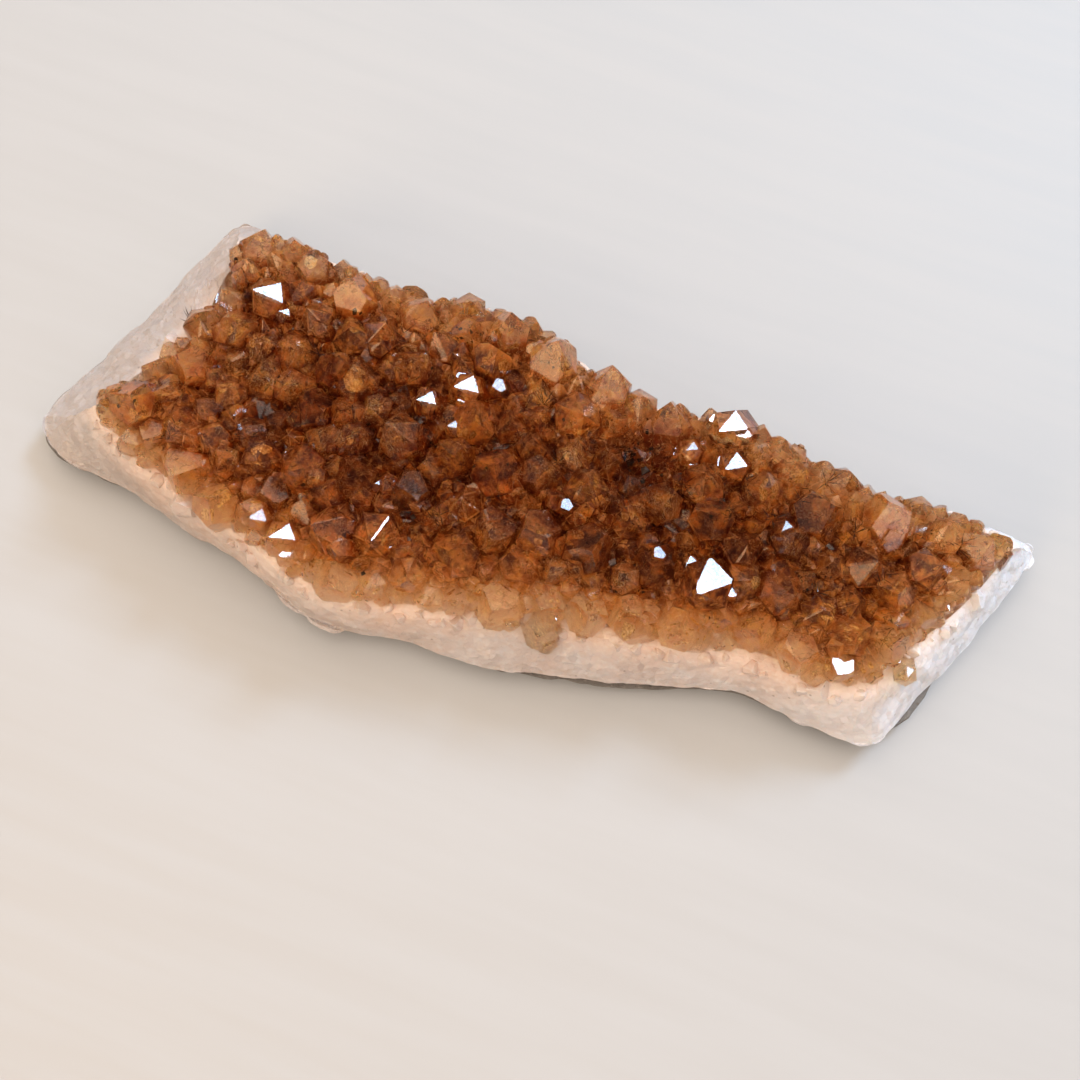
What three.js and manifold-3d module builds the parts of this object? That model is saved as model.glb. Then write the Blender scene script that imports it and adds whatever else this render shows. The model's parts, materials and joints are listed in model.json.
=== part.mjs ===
// Citrine cluster: a broken-out piece of geode lining, 178 mm long.
// Three bodies that grew on each other: a crust of amber citrine points, the
// milky quartz slab that they stand on, and the grey basalt skin under the slab.
// Millimetres, +Z up. X runs along the slab, Y across it, Z = 0 is the resting face.

import * as THREE from "three";
import { ConvexGeometry } from "three/addons/geometries/ConvexGeometry.js";
import { mergeVertices } from "three/addons/utils/BufferGeometryUtils.js";
import Module from "manifold-3d";

const wasm = await Module();
wasm.setup();

// ---------------------------------------------------------------- dimensions

// Broken edge of the slab seen from above: x, y, and the width of the pale rim
// between the edge and the first amber points.
const EDGE = [
  [-89, -12.5, 18], [-83, -19, 13], [-68, -21, 6], [-55, -24, 5], [-43, -26, 4],
  [-27, -31, 5], [-12, -29, 5], [4, -28, 9], [17, -25, 8.5], [30, -21.5, 7],
  [46, -17, 6], [59, -18, 6.5], [70, -17.5, 11], [74, -11.5, 9], [80.5, 2, 7.5],
  [85.5, 15, 8], [88.5, 25.5, 9], [83, 27.5, 6], [75, 27, 3.5], [65, 25.5, 2],
  [54, 25, 2], [42, 27.5, 2], [30, 28.5, 2], [18, 27, 2], [8, 27.5, 2],
  [-2, 31.5, 2], [-14, 33.5, 2], [-28, 32, 2], [-42, 32, 2], [-55, 34, 3],
  [-64, 35.5, 8], [-71, 35.5, 13], [-75, 27, 15], [-79, 14, 14], [-84, 2, 15],
];
const EDGE_STEPS = 72;

// The line that the rings of the slab shrink towards.
const SPINE_START = new THREE.Vector2(-58, 6);
const SPINE_END = new THREE.Vector2(60, 4);

// Rings never come closer to the spine than this share of the way to it.
const FURTHEST_IN = 0.86;

// Clearance between two neighbouring minerals.
const GAP = 0.3;

// Basalt skin: top, height of the worn lower lip, inset of its side from the
// slab's edge, further inset of the lip (in three steps) and of the flat below.
const SKIN_TOP = 3.4;
const SKIN_LIP = 1.3;
const SKIN_EDGE_INSET = 0.8;
const SKIN_LIP_INSET = 0.5;
const SKIN_LIP_STEP = 0.4;
const SKIN_FLAT_INSET = 5.5;
// Places where the basalt skin stands out past the quartz: x, y, amount, reach.
const SKIN_LEDGES = [[77, -9, 2.3, 7], [-85, -15, 1.8, 8], [24, -23, 1.2, 21], [87, 17, 1.6, 6]];

// Quartz slab: height where it is widest, rise of the rim, then the rise and
// reach of the crowned floor inside the rim, with a slow swell over it.
const FOOT_HEIGHT = 5.6;
const FOOT_INSET = 1;
const RIM_RISE = 8.4;
const RIM_SHARES = [0, 0.16, 0.4, 0.72, 1];
const FLOOR_RINGS = [6, 14];
const DOME_RISE = 2.6;
const DOME_REACH = 9;
const SWELL = 0.9;
const SWELL_LENGTH = 38;
// Hollows in the crystal floor: x, y, depth, reach.
const HOLLOWS = [[17, 13, 2.6, 8], [-50, 4, 1.6, 11], [60, 4, 1.2, 9]];

// Crust floor between the points: its thickness, how far inside the rim it
// begins and reaches full thickness, and every how many edge steps it has a facet.
const CRUST_HEIGHT = 3.7;
const CRUST_LIP = 0.6;
const CRUST_START = 0.8;
const CRUST_FULL = 3.5;
const CRUST_BURIED = 2.5;
const CRUST_STRIDE = 4;

// Quartz termination: the angle between the long axis and a face normal.
const FACE_ANGLE = THREE.MathUtils.degToRad(51.8);
// The walls narrow towards the root, which is this much longer than the half width.
const ROOT_TAPER = THREE.MathUtils.degToRad(9);
const ROOT_DEPTH = 3;
// How much higher the three small faces of a large point would meet, in half widths.
const SMALL_FACE_OFFSET = 0.22;

// The large points: x, y, half width, height of the shoulder over the floor,
// lean in degrees, and the heading of the lean in degrees from +X.
const LARGE_POINTS = [
  [34, -4, 4.2, 4.8, 33, 243], [-54, 17.8, 3.3, 4.8, 23, 208], [-35.2, -21, 3.0, 3.6, 23, 223],
  [-20.6, 9, 2.3, 5.2, 27, 217], [29, 23, 3.2, 5.0, 36, 232], [-15.3, 13.7, 2.8, 4.9, 29, 217],
  [59, -8.8, 2.3, 4.0, 33, 259], [31.7, 16.7, 2.5, 4.9, 35, 235], [-3, 25, 4.2, 4.4, 16, 80],
  [-5, 2, 3.8, 5.0, 6, 300], [-36, -9, 3.8, 4.7, 22, 250], [14, -5, 3.9, 4.6, 18, 310],
  [48, 14, 4.0, 4.5, 20, 30], [52, -9, 3.3, 3.8, 24, 280], [-20, -15, 3.7, 4.0, 26, 285],
  [-62, 2, 3.5, 4.1, 18, 190], [3, -18.5, 3.9, 2.4, 26, 262], [68, 12, 3.5, 3.9, 18, 20],
  [-40, 24, 3.7, 4.5, 18, 95], [11, -20, 2.8, 2.2, 24, 275],
];
// Passes of smaller points: half width from and to, number of tries.
const POINT_PASSES = [[3.0, 3.8, 500], [2.3, 3.0, 3600]];
// Least distance between two points, as a share of their two half widths.
const CROWDING = 0.86;
// Least distance from the rim, in half widths.
const RIM_CLEARANCE = 0.4;
// The field that the smaller points are thrown over, along X and across.
const FIELD_X = [-90, 90];
const FIELD_Y = [-32, 36];
// Shoulder height, as a share of the half width plus a base.
const SHOULDER_BASE = 0.8;
const SHOULDER_SHARES = [0.75, 1.2];
// Largest stray lean, and the outward lean at the rim and how fast it fades, in degrees and mm.
const RANDOM_LEAN = 26;
const EDGE_LEAN = 24;
const EDGE_LEAN_REACH = 7;
const RANDOM_START = 20417;

// ------------------------------------------------------------------- helpers

let randomState = RANDOM_START;

/** The next number of a fixed sequence, between low and high. */
function random(low, high) {
  randomState = (randomState * 1664525 + 1013904223) % 4294967296;
  return low + (high - low) * (randomState / 4294967296);
}

const edgeCurve = new THREE.CatmullRomCurve3(
  EDGE.map(([x, y, rim]) => new THREE.Vector3(x, y, rim)), true, "catmullrom", 0.5,
);
const edge = edgeCurve.getPoints(EDGE_STEPS).slice(0, EDGE_STEPS);

/** Distance from a point to the slab's edge (positive inside) and the rim width there. */
function edgeAt(x, y) {
  let nearest = { inset: Infinity, rim: 0, outX: 0, outY: 0 };
  for (let i = 0; i < edge.length; i += 1) {
    const a = edge[i];
    const b = edge[(i + 1) % edge.length];
    const alongX = b.x - a.x;
    const alongY = b.y - a.y;
    const t = ((x - a.x) * alongX + (y - a.y) * alongY) / (alongX * alongX + alongY * alongY);
    const part = THREE.MathUtils.clamp(t, 0, 1);
    const outX = a.x + alongX * part - x;
    const outY = a.y + alongY * part - y;
    const inset = Math.hypot(outX, outY);
    if (inset < nearest.inset) {
      nearest = { inset, rim: a.z + (b.z - a.z) * part, outX, outY };
    }
  }
  return nearest;
}

/** Height of the quartz slab's upper surface. */
function slabHeight(x, y) {
  const { inset, rim } = edgeAt(x, y);
  const slope = Math.sin(Math.min(inset / rim, 1) * Math.PI / 2);
  const beyond = Math.max(inset - rim, 0);
  const dome = 1 - Math.exp(-beyond / DOME_REACH);
  const swell = SWELL * Math.sin(x / SWELL_LENGTH * Math.PI * 2) * Math.cos(y / SWELL_LENGTH * Math.PI);
  let height = FOOT_HEIGHT + RIM_RISE * slope + (DOME_RISE + swell) * dome;
  for (const [hollowX, hollowY, depth, reach] of HOLLOWS) {
    height -= depth * Math.exp(-((x - hollowX) ** 2 + (y - hollowY) ** 2) / (reach * reach));
  }
  return height;
}

/** A ring of points round the slab, inset from its edge, at the given height. */
function ring(insetAt, heightAt) {
  return edge.map((point, i) => {
    const along = THREE.MathUtils.clamp((point.x - SPINE_START.x) / (SPINE_END.x - SPINE_START.x), 0, 1);
    const centre = SPINE_START.clone().lerp(SPINE_END, along);
    const width = Math.hypot(centre.x - point.x, centre.y - point.y);
    const part = Math.min(insetAt(point, i) / width, FURTHEST_IN);
    const x = THREE.MathUtils.lerp(point.x, centre.x, part);
    const y = THREE.MathUtils.lerp(point.y, centre.y, part);
    return new THREE.Vector3(x, y, heightAt(x, y, i));
  });
}

/** A closed body through rings of equal length, from the bottom ring to the top one. */
function ringBody(rings) {
  const count = rings[0].length;
  const positions = rings.flat().flatMap((point) => [point.x, point.y, point.z]);
  const index = [];
  for (let level = 0; level < rings.length - 1; level += 1) {
    for (let i = 0; i < count; i += 1) {
      const here = level * count + i;
      const next = level * count + (i + 1) % count;
      index.push(here, next, next + count, here, next + count, here + count);
    }
  }
  const flat = (points) => points.map((point) => new THREE.Vector2(point.x, point.y));
  for (const [a, b, c] of THREE.ShapeUtils.triangulateShape(flat(rings[0]), [])) {
    index.push(a, c, b);
  }
  const top = (rings.length - 1) * count;
  for (const [a, b, c] of THREE.ShapeUtils.triangulateShape(flat(rings.at(-1)), [])) {
    index.push(top + a, top + b, top + c);
  }
  const geometry = new THREE.BufferGeometry();
  geometry.setAttribute("position", new THREE.Float32BufferAttribute(positions, 3));
  geometry.setIndex(index);
  return geometry;
}

/** A manifold solid from a closed geometry. */
function solidOf(geometry) {
  const bare = new THREE.BufferGeometry();
  bare.setAttribute("position", geometry.getAttribute("position"));
  bare.setIndex(geometry.getIndex());
  const merged = mergeVertices(bare, 1e-5);
  return new wasm.Manifold(new wasm.Mesh({
    numProp: 3,
    vertProperties: new Float32Array(merged.getAttribute("position").array),
    triVerts: new Uint32Array(merged.getIndex().array),
  }));
}

/** A geometry from a manifold solid. */
function geometryOf(solid) {
  const mesh = solid.getMesh();
  const geometry = new THREE.BufferGeometry();
  geometry.setAttribute("position", new THREE.BufferAttribute(mesh.vertProperties, 3));
  geometry.setIndex(new THREE.BufferAttribute(mesh.triVerts, 1));
  return geometry;
}

// --------------------------------------------------------------- basalt skin

/** How far the skin's side stands in from the slab's edge. */
function skinInset(point) {
  let inset = SKIN_EDGE_INSET;
  for (const [x, y, amount, reach] of SKIN_LEDGES) {
    inset -= amount * Math.exp(-((point.x - x) ** 2 + (point.y - y) ** 2) / (reach * reach));
  }
  return inset;
}

function basaltSkin() {
  return ringBody([
    ring((point) => skinInset(point) + SKIN_FLAT_INSET, () => 0),
    ring((point, i) => skinInset(point) + SKIN_LIP_INSET + SKIN_LIP_STEP * (i % 3), () => SKIN_LIP),
    ring(skinInset, () => SKIN_TOP),
  ]);
}

// --------------------------------------------------------------- quartz slab

/** The slab, from its flat underside over the broken edge to the crowned top. */
function quartzSlab() {
  return ringBody([
    ring(() => FOOT_INSET, () => SKIN_TOP + GAP),
    ...RIM_SHARES.map((share) => ring((point) => point.z * share, slabHeight)),
    ...FLOOR_RINGS.map((past) => ring((point) => point.z + past, slabHeight)),
  ]);
}

/** The same slab with every point moved outwards, for cutting what stands on it. */
function grownSlab(clearance) {
  const geometry = quartzSlab();
  geometry.computeVertexNormals();
  const position = geometry.getAttribute("position");
  const normal = geometry.getAttribute("normal");
  for (let i = 0; i < position.count; i += 1) {
    position.setXYZ(
      i,
      position.getX(i) + normal.getX(i) * clearance,
      position.getY(i) + normal.getY(i) * clearance,
      position.getZ(i) + normal.getZ(i) * clearance,
    );
  }
  return geometry;
}

// ------------------------------------------------------------ citrine points

/** Corner points of the body that a set of planes encloses. */
function cornersOf(planes) {
  const corners = [];
  const meet = new THREE.Matrix3();
  for (let i = 0; i < planes.length; i += 1) {
    for (let j = i + 1; j < planes.length; j += 1) {
      for (let k = j + 1; k < planes.length; k += 1) {
        const [a, b, c] = [planes[i], planes[j], planes[k]];
        meet.set(
          a.normal.x, a.normal.y, a.normal.z,
          b.normal.x, b.normal.y, b.normal.z,
          c.normal.x, c.normal.y, c.normal.z,
        );
        if (Math.abs(meet.determinant()) < 1e-6) {
          continue;
        }
        const corner = new THREE.Vector3(-a.constant, -b.constant, -c.constant).applyMatrix3(meet.invert());
        const isInside = planes.every((plane) => plane.distanceToPoint(corner) < 1e-6);
        const isNew = corners.every((other) => other.distanceTo(corner) > 1e-4);
        if (isInside && isNew) {
          corners.push(corner);
        }
      }
    }
  }
  return corners;
}

/** A six-sided point along +Z: its shoulder at z = 0, its root below, its tip above. */
function quartzPoint(halfWidth, smallFaceOffset) {
  const planes = [];
  const tip = halfWidth / Math.tan(Math.PI / 2 - FACE_ANGLE);
  for (let side = 0; side < 6; side += 1) {
    const turn = side * Math.PI / 3;
    const wall = new THREE.Vector3(Math.cos(turn), Math.sin(turn), -Math.sin(ROOT_TAPER)).normalize();
    planes.push(new THREE.Plane(wall, -halfWidth * Math.hypot(wall.x, wall.y)));
    const face = new THREE.Vector3(
      Math.sin(FACE_ANGLE) * Math.cos(turn),
      Math.sin(FACE_ANGLE) * Math.sin(turn),
      Math.cos(FACE_ANGLE),
    );
    const lift = side % 2 === 0 ? 0 : smallFaceOffset * halfWidth;
    planes.push(new THREE.Plane(face, -face.z * tip - lift));
  }
  planes.push(new THREE.Plane(new THREE.Vector3(0, 0, -1), -ROOT_DEPTH - halfWidth));
  return new ConvexGeometry(cornersOf(planes));
}

/** The point as it stands on the crust: leaning by an angle towards a heading. */
function standingPoint({ x, y, halfWidth, shoulder, lean, heading, turn, smallFaceOffset }) {
  const geometry = quartzPoint(halfWidth, smallFaceOffset);
  const leanAxis = new THREE.Vector3(-Math.sin(heading), Math.cos(heading), 0);
  const tilt = new THREE.Matrix4().makeRotationAxis(leanAxis, lean);
  const spin = new THREE.Matrix4().makeRotationZ(turn);
  const place = new THREE.Matrix4().makeTranslation(x, y, slabHeight(x, y) + shoulder);
  geometry.applyMatrix4(place.multiply(tilt).multiply(spin));
  return geometry;
}

/** Every point of the crust: the large ones by hand, the rest filled in between them. */
function layOutPoints() {
  const points = LARGE_POINTS.map(([x, y, halfWidth, shoulder, lean, heading]) => ({
    x, y, halfWidth, shoulder,
    lean: THREE.MathUtils.degToRad(lean),
    heading: THREE.MathUtils.degToRad(heading),
    turn: THREE.MathUtils.degToRad(heading + 180),
    smallFaceOffset: SMALL_FACE_OFFSET,
  }));
  for (const [narrow, wide, tries] of POINT_PASSES) {
    for (let attempt = 0; attempt < tries; attempt += 1) {
      const x = random(...FIELD_X);
      const y = random(...FIELD_Y);
      const halfWidth = random(narrow, wide);
      const { inset, rim, outX, outY } = edgeAt(x, y);
      const isOnCrust = inset > rim + RIM_CLEARANCE * halfWidth && isInsideEdge(x, y);
      const isFree = points.every((other) => (
        Math.hypot(other.x - x, other.y - y) > CROWDING * (other.halfWidth + halfWidth)
      ));
      if (!isOnCrust || !isFree) {
        continue;
      }
      const outward = EDGE_LEAN * Math.exp(-(inset - rim) / EDGE_LEAN_REACH) / inset;
      const stray = random(0, RANDOM_LEAN);
      const strayHeading = random(0, 2 * Math.PI);
      const leanX = outX * outward + stray * Math.cos(strayHeading);
      const leanY = outY * outward + stray * Math.sin(strayHeading);
      points.push({
        x, y, halfWidth,
        shoulder: random(...SHOULDER_SHARES) * (SHOULDER_BASE + halfWidth),
        lean: THREE.MathUtils.degToRad(Math.hypot(leanX, leanY)),
        heading: Math.atan2(leanY, leanX),
        turn: random(0, 2 * Math.PI),
        smallFaceOffset: 0,
      });
    }
  }
  return points;
}

/** Whether a place is inside the slab's edge. */
function isInsideEdge(x, y) {
  let inside = false;
  for (let i = 0; i < edge.length; i += 1) {
    const a = edge[i];
    const b = edge[(i + 1) % edge.length];
    const crosses = (a.y > y) !== (b.y > y) && x < a.x + (b.x - a.x) * (y - a.y) / (b.y - a.y);
    if (crosses) {
      inside = !inside;
    }
  }
  return inside;
}

/** The floor that the points grew out of, joining them in one body. */
function crustFloor() {
  const raised = (height) => (x, y) => slabHeight(x, y) + height;
  const coarse = (points) => points.filter((point, i) => i % CRUST_STRIDE === 0);
  return ringBody([
    ring((point) => point.z + CRUST_START, raised(-CRUST_BURIED)),
    ring((point) => point.z + CRUST_START, raised(CRUST_LIP)),
    ring((point) => point.z + CRUST_FULL, raised(CRUST_HEIGHT)),
    ring((point) => point.z + FLOOR_RINGS.at(-1), raised(CRUST_HEIGHT)),
  ].map(coarse));
}

/** The whole amber crust, cut off just clear of the slab. */
function citrineCrust() {
  const points = layOutPoints().map((point) => solidOf(standingPoint(point)));
  const grown = wasm.Manifold.union([solidOf(crustFloor()), ...points]);
  const cut = grown.subtract(solidOf(grownSlab(GAP)));
  const bodies = cut.decompose().sort((a, b) => b.volume() - a.volume());
  return geometryOf(bodies[0]);
}

// ------------------------------------------------------------------ assembly

const citrine = new THREE.MeshStandardMaterial({ color: 0xa8561c, roughness: 0.2, metalness: 0 });
const milkyQuartz = new THREE.MeshStandardMaterial({ color: 0xe6d6cc, roughness: 0.6, metalness: 0 });
const basalt = new THREE.MeshStandardMaterial({ color: 0x77716c, roughness: 0.9, metalness: 0 });

/** A named mesh of one sub-part. */
function piece(name, geometry, material) {
  const mesh = new THREE.Mesh(geometry, material);
  mesh.name = name;
  return mesh;
}

const cluster = new THREE.Group();
cluster.add(
  piece("citrine_crystals", citrineCrust(), citrine),
  piece("quartz_matrix", quartzSlab(), milkyQuartz),
  piece("basalt_rind", basaltSkin(), basalt),
);

// The origin is under the middle of the whole piece.
const extent = new THREE.Box3().setFromObject(cluster);
const middle = extent.getCenter(new THREE.Vector3());
cluster.position.set(-middle.x, -middle.y, -extent.min.z);

export default cluster;
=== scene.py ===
"""Citrine cluster: the looks of the amber points, the milky quartz slab and its basalt skin.

Lengths in this script are millimetres in the slab's own frame; they become metres, in the
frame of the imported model, when a mesh is made. The points stand where the model's do.
"""

import json
import math

import bmesh
import bpy
import numpy as np
from mathutils import Matrix, Vector, geometry, noise
from mathutils.bvhtree import BVHTree

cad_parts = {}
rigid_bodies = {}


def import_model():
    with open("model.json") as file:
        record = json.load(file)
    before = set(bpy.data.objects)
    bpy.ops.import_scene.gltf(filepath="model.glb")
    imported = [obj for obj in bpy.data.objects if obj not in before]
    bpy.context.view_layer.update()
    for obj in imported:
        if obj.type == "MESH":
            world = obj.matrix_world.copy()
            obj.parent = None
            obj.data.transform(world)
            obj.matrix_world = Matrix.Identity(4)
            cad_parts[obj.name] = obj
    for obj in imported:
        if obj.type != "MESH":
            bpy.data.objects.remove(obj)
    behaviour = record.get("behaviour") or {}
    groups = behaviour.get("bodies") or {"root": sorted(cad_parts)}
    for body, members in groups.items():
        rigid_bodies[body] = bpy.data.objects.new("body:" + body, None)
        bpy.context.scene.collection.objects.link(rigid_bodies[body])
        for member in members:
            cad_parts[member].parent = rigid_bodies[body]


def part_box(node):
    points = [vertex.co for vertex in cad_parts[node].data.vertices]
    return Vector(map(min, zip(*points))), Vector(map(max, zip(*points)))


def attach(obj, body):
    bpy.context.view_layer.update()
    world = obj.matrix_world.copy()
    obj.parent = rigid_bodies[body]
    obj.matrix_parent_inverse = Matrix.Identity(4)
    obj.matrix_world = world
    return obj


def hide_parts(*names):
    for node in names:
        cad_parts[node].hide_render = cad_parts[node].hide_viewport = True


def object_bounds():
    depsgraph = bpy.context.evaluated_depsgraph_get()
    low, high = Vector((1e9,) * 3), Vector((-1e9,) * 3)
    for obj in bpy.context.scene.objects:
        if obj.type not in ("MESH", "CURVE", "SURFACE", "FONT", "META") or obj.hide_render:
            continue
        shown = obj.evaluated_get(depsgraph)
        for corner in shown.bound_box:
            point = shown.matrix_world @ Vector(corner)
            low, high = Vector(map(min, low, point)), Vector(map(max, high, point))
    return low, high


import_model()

CAD_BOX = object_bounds()
MM = 0.001

# Where each fixed sequence of random numbers starts.
RANDOM_START = 20417
SHAPE_START = 7
TONE_START = 99
CLOUDY_START = 271
VEIL_START = 431
HAZE_START = 613
GRAIN_START = 77

# ------------------------------------------------------------------ dimensions

# Broken edge of the slab seen from above: x, y, and the width of the pale rim.
EDGE = np.array([
    (-89, -12.5, 18), (-83, -19, 13), (-68, -21, 6), (-55, -24, 5), (-43, -26, 4),
    (-27, -31, 5), (-12, -29, 5), (4, -28, 9), (17, -25, 8.5), (30, -21.5, 7),
    (46, -17, 6), (59, -18, 6.5), (70, -17.5, 11), (74, -11.5, 9), (80.5, 2, 7.5),
    (85.5, 15, 8), (88.5, 25.5, 9), (83, 27.5, 6), (75, 27, 3.5), (65, 25.5, 2),
    (54, 25, 2), (42, 27.5, 2), (30, 28.5, 2), (18, 27, 2), (8, 27.5, 2),
    (-2, 31.5, 2), (-14, 33.5, 2), (-28, 32, 2), (-42, 32, 2), (-55, 34, 3),
    (-64, 35.5, 8), (-71, 35.5, 13), (-75, 27, 15), (-79, 14, 14), (-84, 2, 15),
])
EDGE_STEPS = 72
SPINE = np.array([(-58, 6), (60, 4)])
FURTHEST_IN = 0.86

SKIN_TOP = 3.4
SKIN_LEDGES = [(77, -9, 2.3, 7), (-85, -15, 1.8, 8), (24, -23, 1.2, 21), (87, 17, 1.6, 6)]

FOOT_HEIGHT = 5.6
RIM_RISE = 8.4
DOME_RISE = 2.6
DOME_REACH = 9
SWELL = 0.9
SWELL_LENGTH = 38
HOLLOWS = [(17, 13, 2.6, 8), (-50, 4, 1.6, 11), (60, 4, 1.2, 9)]

# Quartz termination: the angle between the long axis and a face normal.
FACE_ANGLE = math.radians(51.8)
ROOT_DEPTH = 3

# The large points: x, y, half width, shoulder height, lean and heading in degrees.
LARGE_POINTS = [
    (34, -4, 4.2, 4.8, 33, 243), (-54, 17.8, 3.3, 4.8, 23, 208), (-35.2, -21, 3.0, 3.6, 23, 223),
    (-20.6, 9, 2.3, 5.2, 27, 217), (29, 23, 3.2, 5.0, 36, 232), (-15.3, 13.7, 2.8, 4.9, 29, 217),
    (59, -8.8, 2.3, 4.0, 33, 259), (31.7, 16.7, 2.5, 4.9, 35, 235), (-3, 25, 4.2, 4.4, 16, 80),
    (-5, 2, 3.8, 5.0, 6, 300), (-36, -9, 3.8, 4.7, 22, 250), (14, -5, 3.9, 4.6, 18, 310),
    (48, 14, 4.0, 4.5, 20, 30), (52, -9, 3.3, 3.8, 24, 280), (-20, -15, 3.7, 4.0, 26, 285),
    (-62, 2, 3.5, 4.1, 18, 190), (3, -18.5, 3.9, 2.4, 26, 262), (68, 12, 3.5, 3.9, 18, 20),
    (-40, 24, 3.7, 4.5, 18, 95), (11, -20, 2.8, 2.2, 24, 275),
]
# Small points that lean the way their larger neighbours do, in the same form.
GLINT_POINTS = [
    (43, 9, 1.6, 5.4, 35, 245), (-10, 16, 1.5, 5.4, 30, 218), (-14.7, 6.5, 1.4, 5.5, 28, 220),
    (24, 17, 2.2, 5.0, 34, 231), (70, -5.8, 1.8, 3.2, 33, 265), (-40, -19, 1.9, 3.8, 22, 221),
    (8, 0, 1.3, 5.6, 31, 230), (25, -2, 1.4, 5.6, 32, 238),
]
# Passes of points: half width from and to, number of tries, crowding.
MAIN_PASSES = [(3.0, 3.8, 500, 0.86), (2.3, 3.0, 3600, 0.86)]
RIM_CLEARANCE = 0.4
SHOULDER_SHARES = (0.75, 1.2)
RANDOM_LEAN = 26
EDGE_LEAN = 24
EDGE_LEAN_REACH = 7
# The stretch that points are thrown at.
THROW_X = (-90, 90)
THROW_Y = (-32, 36)

# Small points between the main ones, and pale ones on the rim.
FILL_PASSES = [(1.7, 2.5, 6000, 0.66), (1.0, 1.6, 9000, 0.62)]
FILL_SHOULDERS = (1.6, 3.6)
RIM_PASSES = [(2.0, 3.2, 700, 0.6), (0.9, 1.8, 3000, 0.6)]
RIM_SHOULDERS = (-0.9, 0.0)

# Side points: how many each larger point has, on which sides of it (never its brightest face),
# and their size, distance and depth as shares of the larger point's half width.
SIDE_POINTS = 2
SIDE_LEAST = 1.9
SIDE_TURNS = (math.radians(55), math.radians(305))
SIDE_SIZES = (0.32, 0.65)
SIDE_REACHES = (0.7, 1.0)
SIDE_DROPS = (-0.1, 0.7)

# How a point differs from a perfect one: end faces cut deeper, one of them most; every other
# end face smaller; worn edges (none below zero); extra flats with their tilt and their share.
DEEPER_CUTS = (0, 0.16)
LARGEST_FACE_CUT = 0.15
SMALL_FACE_OFFSETS = (0.0, 0.45)
CHAMFERS = (-0.02, 0.14)
CHAMFER_PLANES = 12
MOST_FLATS = 2.8
FLAT_TILTS = (12, 75)
FLAT_SHARES = (0.8, 0.97)

# The floor of the crust: rings past the rim, with their height above the slab, and its lumps.
FLOOR_STEPS = 180
FLOOR_RINGS = [
    (0.8, -1.5), (0.8, 0.3), (2.0, 1.0), (4.0, 1.2), (7.0, 1.3), (11.0, 1.3), (15.0, 1.3),
]
FLOOR_LUMPS = 0.5
FLOOR_LUMPS_PER_MM = 0.35

# The slab's side: rings inset from the edge, with their height above the skin; then its top.
SLAB_STEPS = 640
SLAB_SIDE = [(1.6, -0.2), (1.0, 0.3), (0.6, 0.9), (0.2, 1.5)]
SLAB_RIM_RINGS = 24
SLAB_RIM_CROWDING = 1.3
SLAB_FLOOR_RINGS = (1, 3, 6, 10, 14)

# The skin: rings inset from its outline that rest, a rounded foot, then rings with heights.
SKIN_STEPS = 360
SKIN_INSET = 0.8
SKIN_REST = (9.5, 5.5)
SKIN_ROUND_INSET = 0.5
SKIN_ROUND = (5.0, 1.3)
SKIN_SIDE = [(0.25, 1.9), (0.1, 2.5), (0.0, 3.0), (0.3, 3.5), (3.0, 3.6)]

# ------------------------------------------------------- the shape of the slab


class FixedRandom:
    """The fixed sequence of numbers that the points are laid out with."""

    FACTOR = 1664525
    STEP = 1013904223
    RANGE = 2 ** 32

    def __init__(self, start):
        self.state = start

    def between(self, low, high):
        """The next number of the sequence, brought between two values."""
        self.state = (self.state * self.FACTOR + self.STEP) % self.RANGE
        return low + (high - low) * (self.state / self.RANGE)


def closed_curve(points, steps):
    """Places along a closed Catmull-Rom curve through the points."""
    count = len(points)
    places = np.arange(steps) / steps * count
    first = places.astype(int)
    t = (places - first)[:, None]
    before, here, after, beyond = (points[(first + k) % count] for k in (-1, 0, 1, 2))
    leave = 0.5 * (after - before)
    arrive = 0.5 * (beyond - here)
    square = -3 * here + 3 * after - 2 * leave - arrive
    cube = 2 * here - 2 * after + leave + arrive
    return here + leave * t + square * t ** 2 + cube * t ** 3


edge = closed_curve(EDGE, EDGE_STEPS)
edge_next = np.roll(edge, -1, axis=0)
edge_along = edge_next - edge


def edge_at(x, y):
    """Distance to the slab's edge, the rim width there and the way out to it."""
    x, y = np.atleast_1d(x), np.atleast_1d(y)
    to_x = x[:, None] - edge[:, 0]
    to_y = y[:, None] - edge[:, 1]
    length = edge_along[:, 0] ** 2 + edge_along[:, 1] ** 2
    part = np.clip((to_x * edge_along[:, 0] + to_y * edge_along[:, 1]) / length, 0, 1)
    out_x = edge_along[:, 0] * part - to_x
    out_y = edge_along[:, 1] * part - to_y
    inset = np.hypot(out_x, out_y)
    nearest = inset.argmin(axis=1)
    row = np.arange(len(x))
    rim = edge[nearest, 2] + edge_along[nearest, 2] * part[row, nearest]
    return inset[row, nearest], rim, out_x[row, nearest], out_y[row, nearest]


def is_inside_edge(x, y):
    """Whether a place is inside the slab's edge."""
    a, b = edge, edge_next
    spans = (a[:, 1] > y) != (b[:, 1] > y)
    rise = np.where(b[:, 1] == a[:, 1], 1, b[:, 1] - a[:, 1])
    crosses = spans & (x < a[:, 0] + (b[:, 0] - a[:, 0]) * (y - a[:, 1]) / rise)
    return crosses.sum() % 2 == 1


def near(x, y, middle_x, middle_y, reach):
    """How near a place is to the middle of something: 1 there, fading out around it."""
    return np.exp(-((x - middle_x) ** 2 + (y - middle_y) ** 2) / reach ** 2)


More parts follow.
